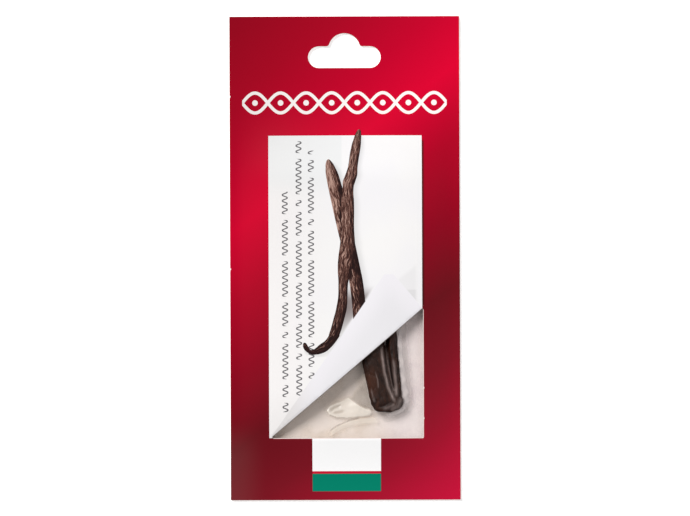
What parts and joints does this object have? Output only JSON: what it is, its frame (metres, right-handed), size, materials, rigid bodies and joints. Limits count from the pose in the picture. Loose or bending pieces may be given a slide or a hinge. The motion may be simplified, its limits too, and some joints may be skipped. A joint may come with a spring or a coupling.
{
  "type": "hanging card pack with a vanilla pod",
  "caption": "Flat printed card pack with a hang hole; a slanting window in its front shows the folded end of a cured vanilla pod in clear film.",
  "frame": {"origin": "middle of the pack's flat back, on the surface that it lies on", "axes": "+X to the pack's right seen from the front, +Y to its top with the hang hole, +Z out of its printed front"},
  "size_m": [0.09, 0.1894, 0.0069],
  "materials": {
    "printed_board": "coated board, printed in a deep red that runs light and dark across the pack, with a white panel, and lacquered to a soft gloss",
    "board_core": "bare pale board, at cut edges and inside the pack",
    "clear_film": "clear crinkled packing film, glossy",
    "vanilla_skin": "cured vanilla skin: leathery, oily, dark brown and wrinkled lengthwise"
  },
  "bodies": {
    "root": {"card": "printed_board", "film_bag": "clear_film", "vanilla_pod": "vanilla_skin"}
  },
  "joints": []
}
